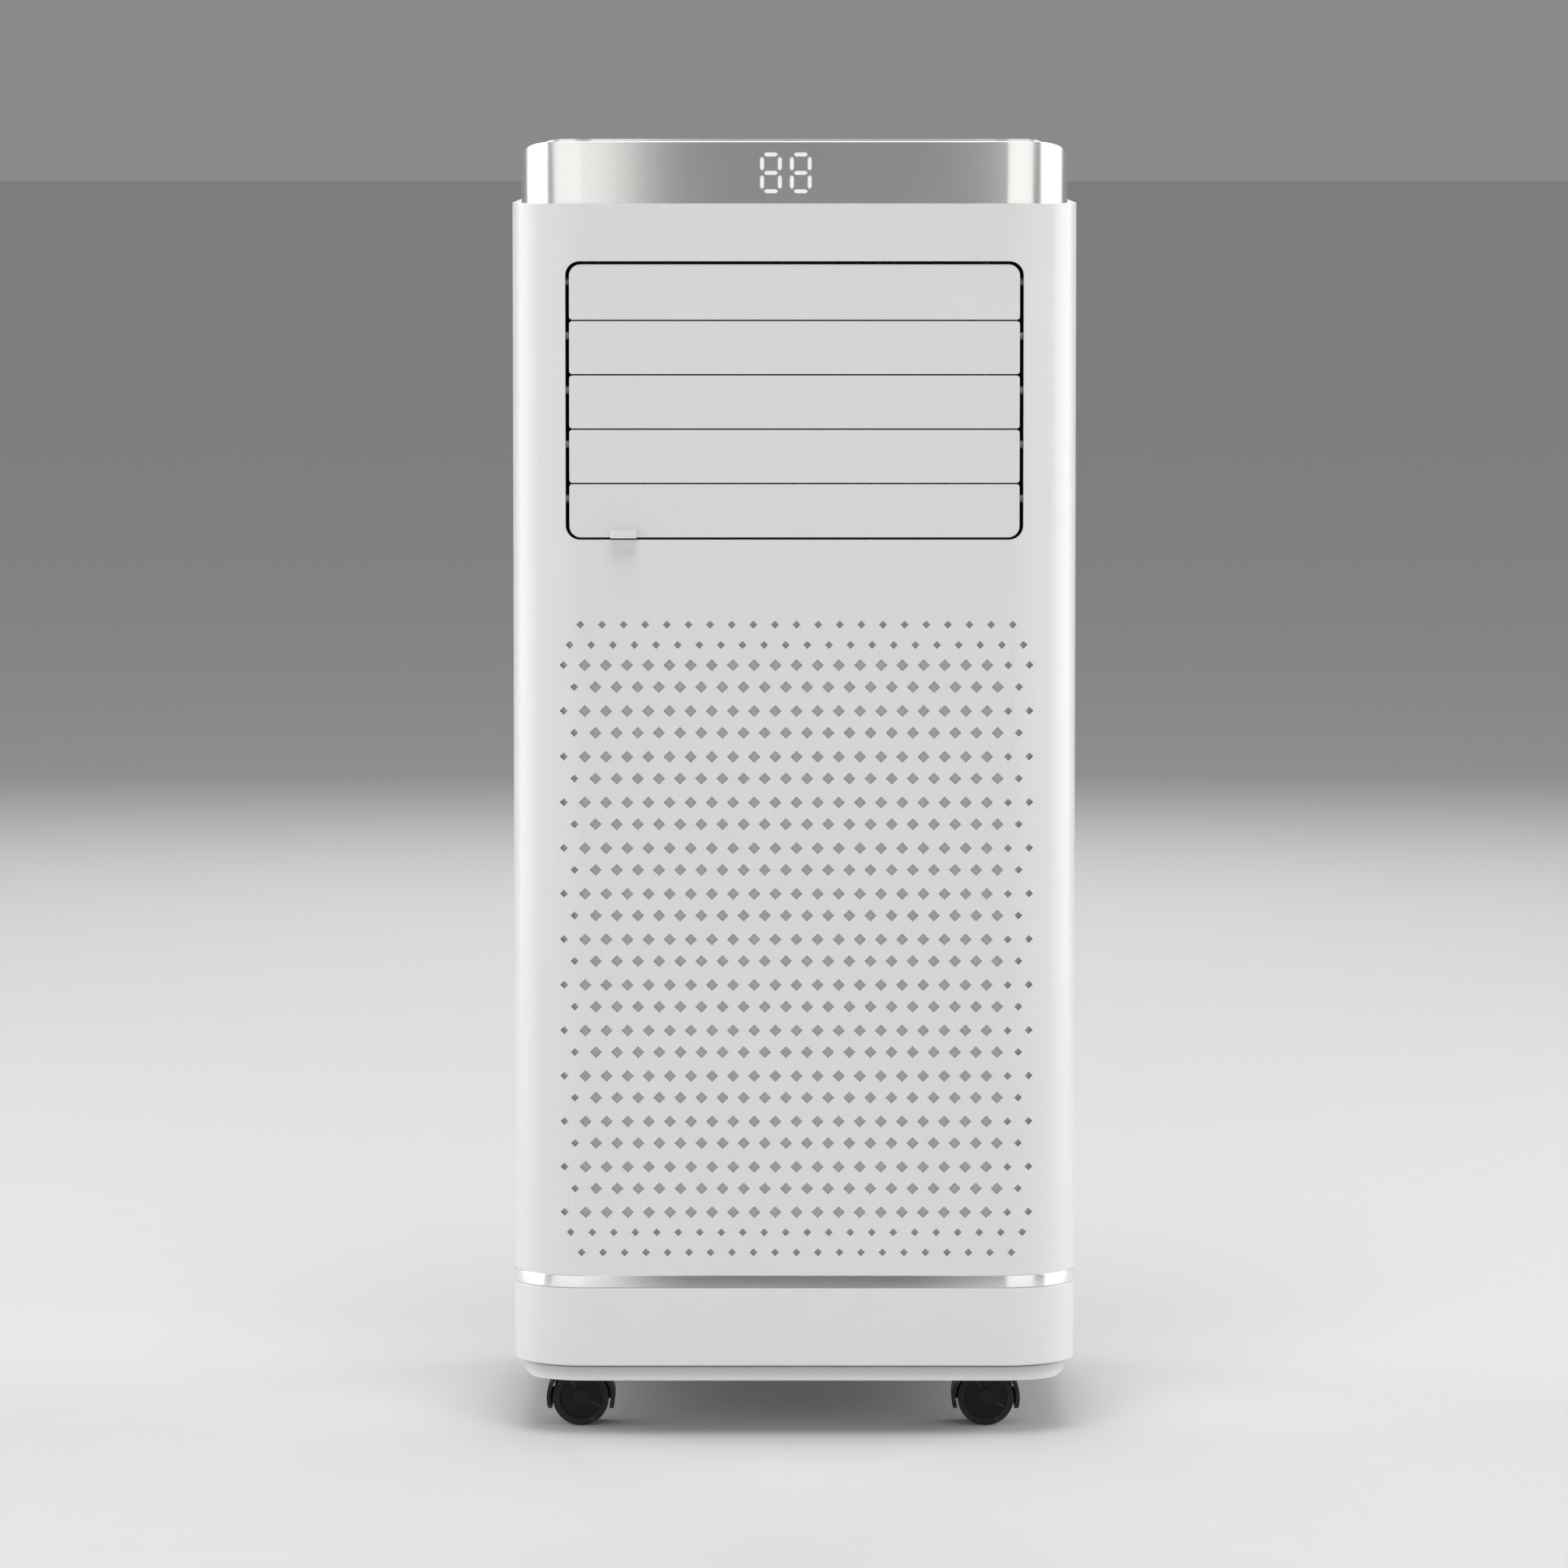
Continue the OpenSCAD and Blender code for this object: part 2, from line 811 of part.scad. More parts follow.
module blower_wheel() {
    color([0.30, 0.31, 0.33])
        translate([0, drum_y, drum_z]) {
            drum(drum_r, drum_half, 30, 20);
            rod_x(12, 8, 30, 0, 0);
            rod_x(shaft_r, 0, 66, 0, 0);
        }
}

motor_arm = 54;

module blower_motor() {
    x1 = frame_in_x + frame_t;
    color(zinc_c)
        translate([0, drum_y, drum_z])
            difference() {
                union() {
                    rod_x(34, 42, x1 + 2.5, 0, 0);
                    for (i = [0 : 2])
                        rotate([120 * i, 0, 0])
                            block([x1, 30, -6], [x1 + 2.5, motor_arm, 6]);
                }
                rod_x(shaft_r + run_gap, 41, 70, 0, 0);
            }
}

// Finned block with end plates and return bends, from corner a to corner b.
module coil(a, b, tubes) {
    plate = 1.5;
    bend_r = 9;
    tube_r = 3.5;
    pitch = (b[2] - a[2]) / tubes;
    color(zinc_c) {
        block([a[0] + plate, a[1] + 1, a[2] + 1], [b[0] - plate, b[1] - 1, b[2] - 1]);
        block(a, [a[0] + plate + eps, b[1], b[2]]);
        block([b[0] - plate - eps, a[1], a[2]], b);
    }
    color(copper_c)
        for (i = [0 : tubes - 1], m = [0, 1])
            translate([m > 0 ? a[0] + eps : b[0] - eps, (a[1] + b[1]) / 2, a[2] + (i + 0.5) * pitch])
                mirror([m, 0, 0])
                    rotate([-90, 0, 0])
                        rotate([0, 0, -90])
                            rotate_extrude(angle = 180, $fn = 48)
                                translate([bend_r, 0])
                                    circle(r = tube_r, $fn = 24);
}

module evaporator_coil() {
    coil([-110, 95, 404], [110, 125, 628], 7);
}

// Inside: lower half ---------------------------------------------------------------------

module condenser_coil() {
    coil([-110, -132, 100], [110, -100, 372], 8);
}

fan_x = 20;
fan_z = 210;
fan_r = 68;
fan_front = 55;
duct_x0 = -36;
duct_x1 = 104;
duct_z1 = 378.5;

// Front view of the exhaust fan's snail housing, moved inwards by t.
module exhaust_outline(t) {
    translate([fan_x, fan_z])
        circle(r = 84 - t, $fn = round_fn);
    translate([duct_x0 + t, fan_z])
        square([duct_x1 - duct_x0 - 2 * t, duct_z1 - fan_z - t]);
}

module exhaust_housing() {
    color([0.78, 0.79, 0.80])
        difference() {
            through_y(fan_front, housing_back)
                exhaust_outline(0);
            through_y(fan_front + scroll_t, housing_back - scroll_t)
                exhaust_outline(scroll_t);
            rod_y(50, fan_front - 1, fan_front + 5, fan_x, fan_z);
            rod_y(collar_r, housing_back - 5, housing_back + 1, collar_x, collar_z);
            rod_y(12, housing_back - 5, housing_back + 1, fan_x, fan_z);
        }
}

module exhaust_wheel() {
    color([0.30, 0.31, 0.33])
        translate([fan_x, 85, fan_z])
            rotate([0, 0, 90]) {
                drum(fan_r, 23, 26, 19);
                rod_x(10, 10, 30, 0, 0);
                rod_x(shaft_r, 0, 50, 0, 0);
            }
}

module exhaust_motor() {
    color(zinc_c)
        difference() {
            rod_y(33, housing_back, 145, fan_x, fan_z);
            rod_y(shaft_r + run_gap, housing_back - 1, 138, fan_x, fan_z);
        }
}

comp_x = -75;
comp_y = -14;
comp_r = 50;
comp_z0 = 58;
feet_r = 44;

// Round upright shell with domed ends, from z0 to z1.
module capsule(r, z0, z1, dome) {
    steps = 10;
    rotate_extrude($fn = round_fn)
        polygon(concat(
            [[0, z0]],
            [for (i = [0 : steps]) [r * sin(90 * i / steps), z0 + dome * (1 - cos(90 * i / steps))]],
            [for (i = [0 : steps]) [r * cos(90 * i / steps), z1 - dome * (1 - sin(90 * i / steps))]],
            [[0, z1]]));
}

module compressor() {
    color(black_c)
        translate([comp_x, comp_y, 0]) {
            capsule(comp_r, comp_z0 + 1, 262, 26);
            for (i = [0 : 2])
                rotate([0, 0, 120 * i])
                    block([-4, -12, comp_z0], [feet_r + 12, 12, comp_z0 + 3]);
        }
}

module compressor_feet() {
    color(black_c)
        for (i = [0 : 2])
            rod_z(10, skirt_z0, comp_z0, comp_x + feet_r * cos(120 * i), comp_y + feet_r * sin(120 * i));
}

// Pipe up from [x, y, z0] to z1, a bend of radius r, then along direction a for l.
module riser(x, y, z0, z1, a, r, l) {
    translate([x, y, 0]) {
        rod_z(pipe_r, z0, z1 + eps, 0, 0);
        rotate([0, 0, a]) {
            translate([r, 0, z1])
                rotate([90, 0, 0])
                    rotate_extrude(angle = 90, start = 90, $fn = 48)
                        translate([r, 0])
                            circle(r = pipe_r, $fn = 24);
            rod_x(pipe_r, r - eps, r + l, 0, z1 + r);
        }
    }
}

module refrigerant_pipes() {
    bend = 14;
    color(copper_c) {
        riser(comp_x, comp_y, 262, 290, -90, bend, 72);
        riser(riser_x, liquid_y, 120, 420, 90, bend, 120);
        riser(-riser_x, suction_y, 90, 420, 90, bend, 18);
    }
}

module control_box() {
    color(zinc_c) {
        block([40, -85, 262], [118, 38, 372]);
        rod_z(18, 196, 262 + eps, 90, -20);
    }
}

// Casters --------------------------------------------------------------------------------

hood_r = 18.3;
hood_t = 2.1;
hood_half = 13;
hood_low = 9.5;
web_half = 2.5;
axle_r = 2.5;
caster_sides = [[-1, -1], [1, -1], [1, 1], [-1, 1]];

// Housing of a twin-wheel caster: hood, middle web and stem, with the stem on the Z axis.
module caster_housing(i) {
    color(black_c)
        translate([caster_sides[i][0] * caster_x, caster_sides[i][1] * caster_y, 0])
            difference() {
                union() {
                    difference() {
                        rod_y(hood_r, -hood_half, hood_half, -caster_trail, wheel_r);
                        rod_y(hood_r - hood_t, -hood_half - 1, hood_half + 1, -caster_trail, wheel_r);
                        block([-60, -30, -10], [60, 30, hood_low]);
                    }
                    block([-caster_trail - hood_r + 1, -web_half, wheel_r - 1.7],
                        [-caster_trail + hood_r - 1, web_half, wheel_r + 4.1]);
                    block([-caster_trail - 7, -web_half, wheel_r], [-caster_trail + 12, web_half, wheel_r + 17]);
                    rod_z(8.5, wheel_r + 15.5, pan_plate_z - 0.3, 0, 0);
                    rod_z(stem_r, wheel_r + 15.5, boss_z1 - 2, 0, 0);
                }
                rod_y(axle_r + run_gap, -web_half - 1, web_half + 1, -caster_trail, wheel_r);
                difference() {
                    rod_y(hood_r - hood_t, web_half, hood_half + 1, -caster_trail, wheel_r);
                    block([-60, -30, -10], [60, 30, -9]);
                }
                rod_y(hood_r - hood_t, -hood_half - 1, -web_half, -caster_trail, wheel_r);
            }
}

// Two wheels on their axle.
module caster_wheels(i) {
    color(dark_c)
        translate([caster_sides[i][0] * caster_x - caster_trail, caster_sides[i][1] * caster_y, 0]) {
            for (s = [-1, 1])
                difference() {
                    rod_y(wheel_r, s > 0 ? 3.1 : -11, s > 0 ? 11 : -3.1, 0, wheel_r);
                    difference() {
                        rod_y(11.5, s > 0 ? 10 : -12, s > 0 ? 12 : -10, 0, wheel_r);
                        rod_y(4.5, -13, 13, 0, wheel_r);
                    }
                }
            rod_y(axle_r, -10.5, 10.5, 0, wheel_r);
        }
}

// Nodes ----------------------------------------------------------------------------------

front_casing();
rear_casing();
upper_rear_casing();
lower_skirt();
trim_strip();
base_pan();
top_band();
top_cover();
control_panel();
display_digits();
circuit_boards();
button(0);  // power_button
button(1);  // mode_button
button(2);  // fan_button
button(3);  // timer_button
button(4);  // cooler_button
button(5);  // warmer_button
louver(0);  // louver_1
louver(1);  // louver_2
louver(2);  // louver_3
louver(3);  // louver_4
union() { louver(4); louver_tab(); }  // louver_5
louver_link();
outlet_frame();
vane(0);  // vane_1
vane(1);  // vane_2
vane(2);  // vane_3
vane(3);  // vane_4
vane(4);  // vane_5
vane_link();
grille_liner();
filter_door();
filter_mesh();
exhaust_collar();
drain_cap(upper_drain_z);  // upper_drain_cap
drain_cap(lower_drain_z);  // lower_drain_cap
cord_gland();
side_handles();
casing_screws();
drip_tray();
blower_housing();
blower_wheel();
blower_motor();
evaporator_coil();
exhaust_housing();
exhaust_wheel();
exhaust_motor();
condenser_coil();
compressor();
compressor_feet();
refrigerant_pipes();
control_box();
caster_housing(0);  // caster_housing_1
caster_housing(1);  // caster_housing_2
caster_housing(2);  // caster_housing_3
caster_housing(3);  // caster_housing_4
caster_wheels(0);  // caster_wheels_1
caster_wheels(1);  // caster_wheels_2
caster_wheels(2);  // caster_wheels_3
caster_wheels(3);  // caster_wheels_4
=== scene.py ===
import json
import math

import bmesh
import bpy
from mathutils import Matrix, Vector


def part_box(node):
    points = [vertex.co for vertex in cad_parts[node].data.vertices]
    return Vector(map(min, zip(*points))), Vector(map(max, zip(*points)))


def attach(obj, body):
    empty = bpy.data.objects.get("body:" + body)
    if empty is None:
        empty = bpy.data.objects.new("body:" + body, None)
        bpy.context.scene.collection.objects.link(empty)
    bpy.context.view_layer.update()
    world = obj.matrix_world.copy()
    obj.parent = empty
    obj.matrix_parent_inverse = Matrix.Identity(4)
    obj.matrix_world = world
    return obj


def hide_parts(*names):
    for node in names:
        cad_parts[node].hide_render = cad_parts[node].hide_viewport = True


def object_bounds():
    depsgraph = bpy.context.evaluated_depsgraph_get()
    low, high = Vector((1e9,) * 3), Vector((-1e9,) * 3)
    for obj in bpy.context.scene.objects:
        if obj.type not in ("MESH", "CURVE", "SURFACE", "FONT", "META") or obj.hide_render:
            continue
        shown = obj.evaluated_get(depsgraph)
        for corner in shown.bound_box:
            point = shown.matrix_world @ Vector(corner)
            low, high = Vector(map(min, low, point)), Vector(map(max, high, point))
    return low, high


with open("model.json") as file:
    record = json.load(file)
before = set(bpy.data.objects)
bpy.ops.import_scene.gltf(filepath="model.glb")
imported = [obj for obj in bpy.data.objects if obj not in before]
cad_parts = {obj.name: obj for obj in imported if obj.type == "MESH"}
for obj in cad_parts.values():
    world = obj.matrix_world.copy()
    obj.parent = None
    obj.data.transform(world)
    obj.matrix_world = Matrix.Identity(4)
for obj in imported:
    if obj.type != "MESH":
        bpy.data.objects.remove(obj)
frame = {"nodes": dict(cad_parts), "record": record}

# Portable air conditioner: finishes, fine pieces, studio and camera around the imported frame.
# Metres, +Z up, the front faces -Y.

CAD_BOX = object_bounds()
NODES = frame["nodes"]
MM = 0.001

# Heights between which painted shade darkens the base pan under the skirt, and how much
PAN_SHADE = (0.030, 0.0385, 0.36)
# Half width of the silver band's flat face, and how far it bows
BAND_BOW = (0.111, 0.005)
# How far the lower strip's face leans up, and how much painted shade darkens its middle
STRIP_LEAN = 0.075
STRIP_PAINTED_SHADE = 0.42
# Point spacing below which points are one, and the turn below which faces are one
SAME_POINT = 0.004 * MM
SAME_FACE = math.radians(0.4)
# Where the lights point, and how far the floor runs
LIGHT_AIM = (0, 0, 0.4)
FLOOR_REACH = 60.0
# How far the finger tab reaches past the casing's front, where the camera is aimed
TAB_REACH = 8 * MM


# Shader building ---------------------------------------------------------------

class Value:
    """A socket that takes part in sums; each operator adds its Math node."""

    def __init__(self, finish, socket):
        self.finish = finish
        self.socket = socket

    def math(self, operation, first, second=None, third=None):
        inputs = {i: v for i, v in enumerate((first, second, third)) if v is not None}
        return self.finish.node("ShaderNodeMath", {"operation": operation}, inputs)

    def __add__(self, other):
        return self.math("ADD", self, other)

    __radd__ = __add__

    def __sub__(self, other):
        return self.math("SUBTRACT", self, other)

    def __rsub__(self, other):
        return self.math("SUBTRACT", other, self)

    def __mul__(self, other):
        return self.math("MULTIPLY", self, other)

    __rmul__ = __mul__

    def __truediv__(self, other):
        return self.math("DIVIDE", self, other)

    def __gt__(self, other):
        return self.math("GREATER_THAN", self, other)

    def __abs__(self):
        return self.math("ABSOLUTE", self)

    def sine(self):
        return self.math("SINE", self)

    def higher_of(self, other):
        return self.math("MAXIMUM", self, other)

    def ramp(self, low, high, to_low=0.0, to_high=1.0):
        """Low to high becomes to_low to to_high, smoothly and held at the ends."""
        return self.finish.node(
            "ShaderNodeMapRange", {"interpolation_type": "SMOOTHSTEP", "clamp": True},
            {"Value": self, "From Min": low, "From Max": high, "To Min": to_low, "To Max": to_high})


class Finish:
    """One material: its nodes, and the shader they feed."""

    def __init__(self, name):
        self.material = bpy.data.materials.new(name)
        self.material.use_nodes = True
        self.tree = self.material.node_tree
        self.tree.nodes.clear()
        self.output = self.tree.nodes.new("ShaderNodeOutputMaterial")

    def node(self, kind, settings=None, inputs=None, output=0):
        """A node of this kind: settings first, then its sockets' values or links."""
        made = self.tree.nodes.new(kind)
        for key, setting in (settings or {}).items():
            setattr(made, key, setting)
        for key, value in (inputs or {}).items():
            if isinstance(value, Value):
                self.tree.links.new(value.socket, made.inputs[key])
            else:
                made.inputs[key].default_value = value
        return Value(self, made.outputs[output])

    def place(self):
        """Where the shaded point is, in metres in the object's own frame."""
        return self.node("ShaderNodeTexCoord", output="Object")

    def axes(self):
        """The three parts of place(), as values."""
        split = self.node("ShaderNodeSeparateXYZ", inputs={0: self.place()})
        sockets = split.socket.node.outputs
        return [Value(self, sockets[i]) for i in range(3)]

    def stretched(self, scale):
        """place() times a vector, for grain that runs one way."""
        return self.node("ShaderNodeVectorMath", {"operation": "MULTIPLY"},
                         {0: self.place(), 1: scale})

    def noise(self, scale, detail=3.0, roughness=0.5, vector=None):
        return self.node("ShaderNodeTexNoise", {"noise_dimensions": "3D"},
                         {"Vector": vector or self.place(), "Scale": scale, "Detail": detail,
                          "Roughness": roughness})

    def cells(self, scale, feature="F1", vector=None):
        return self.node("ShaderNodeTexVoronoi", {"feature": feature},
                         {"Vector": vector or self.place(), "Scale": scale})

    def edges(self, low=0.51, high=0.56):
        """1 on outward edges, 0 elsewhere."""
        return self.node("ShaderNodeNewGeometry", output="Pointiness").ramp(low, high)

    def mix(self, factor, first, second):
        """Colour that goes from first to second."""
        inputs = {"Factor": factor}
        for key, colour in ((6, first), (7, second)):
            inputs[key] = colour if isinstance(colour, Value) else (*colour, 1)
        return self.node("ShaderNodeMix", {"data_type": "RGBA"}, inputs, output=2)

    def bump(self, height, distance, strength=1.0, under=None):
        inputs = {"Height": height, "Distance": distance, "Strength": strength}
        if under is not None:
            inputs["Normal"] = under
        return self.node("ShaderNodeBump", None, inputs)

    def surface(self, **sockets):
        """The shader, with its sockets' names written with underscores."""
        inputs = {name.replace("_", " ").title().replace("Ior", "IOR"): value
                  for name, value in sockets.items()}
        for name, value in inputs.items():
            if isinstance(value, tuple) and len(value) == 3:
                inputs[name] = (*value, 1)
        shader = self.node("ShaderNodeBsdfPrincipled", None, inputs)
        self.tree.links.new(shader.socket, self.output.inputs["Surface"])
        return self.material


# Finishes ------------------------------------------------------------------------

def moulded_plastic(name, colour, roughness=0.36, grain=0.000012, coat=0.25, wear=0.03,
                    shade=None):
    """Injection-moulded shell: faint flow shading, spark-eroded grain, rubbed edges.

    shade is (from z, to z, depth): painted shade, the colour darkens upwards between the two
    heights."""
    f = Finish(name)
    flow = f.noise(9, 2)
    cloud = f.noise(46, 4)
    fine = f.noise(2600, 2, 0.6)
    pits = f.cells(1500)
    dark = tuple(c * 0.965 for c in colour)
    light = tuple(min(1.0, c * 1.02 + 0.01) for c in colour)
    base = f.mix(flow * 0.6 + cloud * 0.4, dark, light)
    base = f.mix(f.edges() * wear, base, tuple(min(1.0, c + 0.12) for c in colour))
    # Painted shade: the colour is darkened upwards between the two heights, where a shadow falls
    if shade:
        start, end, depth = shade
        x, y, z = f.axes()
        base = f.mix(z.ramp(start, end, 0.0, depth), base, tuple(c * 0.1 for c in colour))
    rough = roughness + (cloud - 0.5) * 0.10 + (fine - 0.5) * 0.05
    relief = f.bump(fine * 0.6 + pits * 0.4, grain)
    return f.surface(base_color=base, roughness=rough, normal=relief, coat_weight=coat,
                     coat_roughness=0.22, ior=1.5)


def satin_plate(name, colour, bow, lean=0.0, painted_shade=0.0):
    """Satin plated trim: soft mirror, hairlines along the band, a slight bow across its face.

    bow is (half width of the flat face, depth); lean tips the face up by a slope; the last
    argument is painted shade that greys the middle of the face, leaving the ends bright."""
    f = Finish(name)
    x, y, z = f.axes()
    hair = f.noise(1.0, 4, 0.65, f.stretched((40, 40, 5200)))
    cloud = f.noise(30, 3)
    fine = f.noise(3000, 2)
    base = f.mix(cloud, tuple(c * 0.96 for c in colour), colour)
    base = f.mix(f.edges() * 0.25, base, (0.9, 0.9, 0.88))
    half, depth = bow
    inner = 0.3 * half
    side = (abs(x) - inner).higher_of(0.0) / (half - inner)
    # Painted shade: the middle of the face is greyed, the ends stay bright
    if painted_shade:
        base = f.mix(side.ramp(0.2, 1.0, painted_shade, 0.0), base, tuple(c * 0.1 for c in colour))
    rough = 0.17 + cloud * 0.03 + hair * 0.05
    normal = f.bump(hair * 0.5 + fine * 0.5, 0.0000016)
    normal = f.bump(0 - side * side * depth - z * lean, 1.0, 1.0, normal)
    return f.surface(base_color=base, metallic=1.0, roughness=rough, normal=normal)


def gloss_panel(name, colour):
    """Glossy control panel with a fine dark fleck and finger haze."""
    f = Finish(name)
    haze = f.noise(60, 5, 0.6)
    fleck = f.noise(4200, 1)
    base = f.mix(fleck.ramp(0.55, 0.75), colour, tuple(c + 0.03 for c in colour))
    rough = 0.08 + haze.ramp(0.45, 0.7, 0.0, 0.16)
    return f.surface(base_color=base, roughness=rough, coat_weight=0.8, coat_roughness=0.05,
                     normal=f.bump(haze, 0.00002, 0.3))


def light_guide(name):
    """Milky display bars, lit softly from behind with a faint dot grain."""
    f = Finish(name)
    dots = f.cells(1400)
    glow = f.noise(220, 2)
    base = f.mix(dots, (0.78, 0.78, 0.76), (0.88, 0.88, 0.87))
    light = f.mix(glow, (0.80, 0.80, 0.78), (0.92, 0.92, 0.90))
    return f.surface(base_color=base, roughness=0.35 + dots * 0.1, emission_color=light,
                     emission_strength=0.22, normal=f.bump(dots, 0.00003))


def nylon(name, colour, roughness=0.5):
    """Black nylon: flow marks, scuffed edges, dust in the grain."""
    f = Finish(name)
    flow = f.noise(140, 4, 0.6)
    fine = f.noise(3200, 2)
    scuff = f.noise(420, 5, 0.7).ramp(0.55, 0.72)
    base = f.mix(flow, tuple(c * 0.8 for c in colour), tuple(c * 1.25 + 0.004 for c in colour))
    base = f.mix(f.edges() * 0.35 + scuff * 0.08, base, tuple(c + 0.09 for c in colour))
    rough = roughness + (flow - 0.5) * 0.16 + scuff * 0.08
    return f.surface(base_color=base, roughness=rough, specular_ior_level=0.28,
                     normal=f.bump(fine + flow, 0.00002))


def rubber(name, colour):
    f = Finish(name)
    fine = f.noise(1800, 4, 0.6)
    bloom = f.noise(90, 4).ramp(0.5, 0.75)
    base = f.mix(bloom * 0.5, colour, tuple(c + 0.06 for c in colour))
    return f.surface(base_color=base, roughness=0.72 + bloom * 0.12,
                     normal=f.bump(fine, 0.00005), sheen_weight=0.2, sheen_roughness=0.5)


def felt(name, colour):
    """Non-woven liner: crossed fibres and a loose, matt surface."""
    f = Finish(name)
    first = f.noise(1.0, 3, 0.6, f.stretched((2600, 900, 700)))
    second = f.noise(1.0, 3, 0.6, f.stretched((600, 900, 2400)))
    fibres = first.higher_of(second)
    cloud = f.noise(60, 3)
    base = f.mix(fibres * 0.7 + cloud * 0.3, tuple(c * 0.72 for c in colour), colour)
    return f.surface(base_color=base, roughness=0.92, sheen_weight=0.25, sheen_roughness=0.6,
                     normal=f.bump(fibres, 0.00025))


def woven_nylon(name, colour):
    f = Finish(name)
    strand = f.noise(1500, 3)
    return f.surface(base_color=f.mix(strand, tuple(c * 0.7 for c in colour), colour),
                     roughness=0.45 + strand * 0.15, normal=f.bump(strand, 0.00003))


def zinc_sheet(name, colour):
    """Zinc-plated steel: spangle, rolling lines and darker patches."""
    f = Finish(name)
    spangle = f.cells(170)
    lines = f.noise(1.0, 3, 0.6, f.stretched((90, 90, 2600)))
    dull = f.noise(26, 4).ramp(0.4, 0.75)
    base = f.mix(spangle, tuple(c * 0.86 for c in colour), colour)
    base = f.mix(dull * 0.35, base, tuple(c * 0.6 for c in colour))
    return f.surface(base_color=base, metallic=1.0, roughness=0.3 + spangle * 0.12 + dull * 0.1,
                     normal=f.bump(lines, 0.00001))


def foam_plastic(name, colour):
    """Moulded bead foam: rounded cells with fine seams between them."""
    f = Finish(name)
    beads = f.cells(330)
    seam = f.cells(330, "DISTANCE_TO_EDGE").ramp(0.0, 0.06)
    base = f.mix(seam, tuple(c * 0.8 for c in colour), colour)
    return f.surface(base_color=base, roughness=0.7 + beads * 0.1,
                     normal=f.bump(seam - beads * 0.4, 0.0002), subsurface_weight=0.05)


def fin_stock(name, colour):
    """Thin aluminium fins: bright, slightly dusty, with a coated tint."""
    f = Finish(name)
    dust = f.noise(35, 5, 0.65).ramp(0.45, 0.75)
    wave = f.noise(1.0, 2, 0.5, f.stretched((200, 900, 200)))
    base = f.mix(dust * 0.5, colour, tuple(c * 0.62 for c in colour))
    return f.surface(base_color=base, metallic=1.0, roughness=0.28 + dust * 0.25,
                     normal=f.bump(wave, 0.00004))


def drawn_copper(name, colour):
    """Drawn copper tube: draw lines, heat colours and dull oxide."""
    f = Finish(name)
    lines = f.noise(1.0, 3, 0.6, f.stretched((700, 700, 60)))
    oxide = f.noise(55, 5, 0.6).ramp(0.4, 0.7)
    base = f.mix(oxide * 0.6, colour, tuple(c * 0.5 for c in colour))
    return f.surface(base_color=base, metallic=1.0, roughness=0.24 + oxide * 0.3,
                     normal=f.bump(lines, 0.00001))


def enamel(name, colour):
    """Sprayed black enamel with orange peel and chips on the edges."""
    f = Finish(name)
    peel = f.noise(420, 2)
    dust = f.noise(24, 4).ramp(0.5, 0.8)
    base = f.mix(f.edges() * 0.4, colour, (0.3, 0.3, 0.3))
    base = f.mix(dust * 0.15, base, (0.35, 0.34, 0.32))
    return f.surface(base_color=base, roughness=0.22 + dust * 0.3, coat_weight=0.5,
                     normal=f.bump(peel, 0.00006))


def circuit_board(name, colour):
    """Green board: tracks under the resist and bright pads."""
    f = Finish(name)
    x, y, z = f.axes()
    tracks = f.noise(260, 0).ramp(0.48, 0.52)
    rows = (x * 900).sine() * (z * 900 + y * 900).sine()
    pads = rows > 0.93
    base = f.mix(tracks * 0.5, colour, tuple(c * 1.6 for c in colour))
    base = f.mix(pads, base, (0.78, 0.76, 0.70))
    return f.surface(base_color=base, metallic=pads * 0.9, roughness=0.3 + tracks * 0.1,
                     normal=f.bump(tracks, 0.00003))


def satin_paint(name, colour):
    """Fine metallic paint on the buttons."""
    f = Finish(name)
    flake = f.noise(5200, 1)
    rub = f.noise(160, 4).ramp(0.5, 0.7)
    base = f.mix(flake, tuple(c * 0.85 for c in colour), tuple(c * 1.1 for c in colour))
    return f.surface(base_color=base, metallic=0.55, roughness=0.34 + rub * 0.1,
                     normal=f.bump(flake, 0.000006), coat_weight=0.2)


def printed_mark(name, colour):
    f = Finish(name)
    ink = f.noise(1800, 3)
    return f.surface(base_color=f.mix(ink, tuple(c * 0.85 for c in colour), colour),
                     roughness=0.5 + ink * 0.15, normal=f.bump(ink, 0.000005))


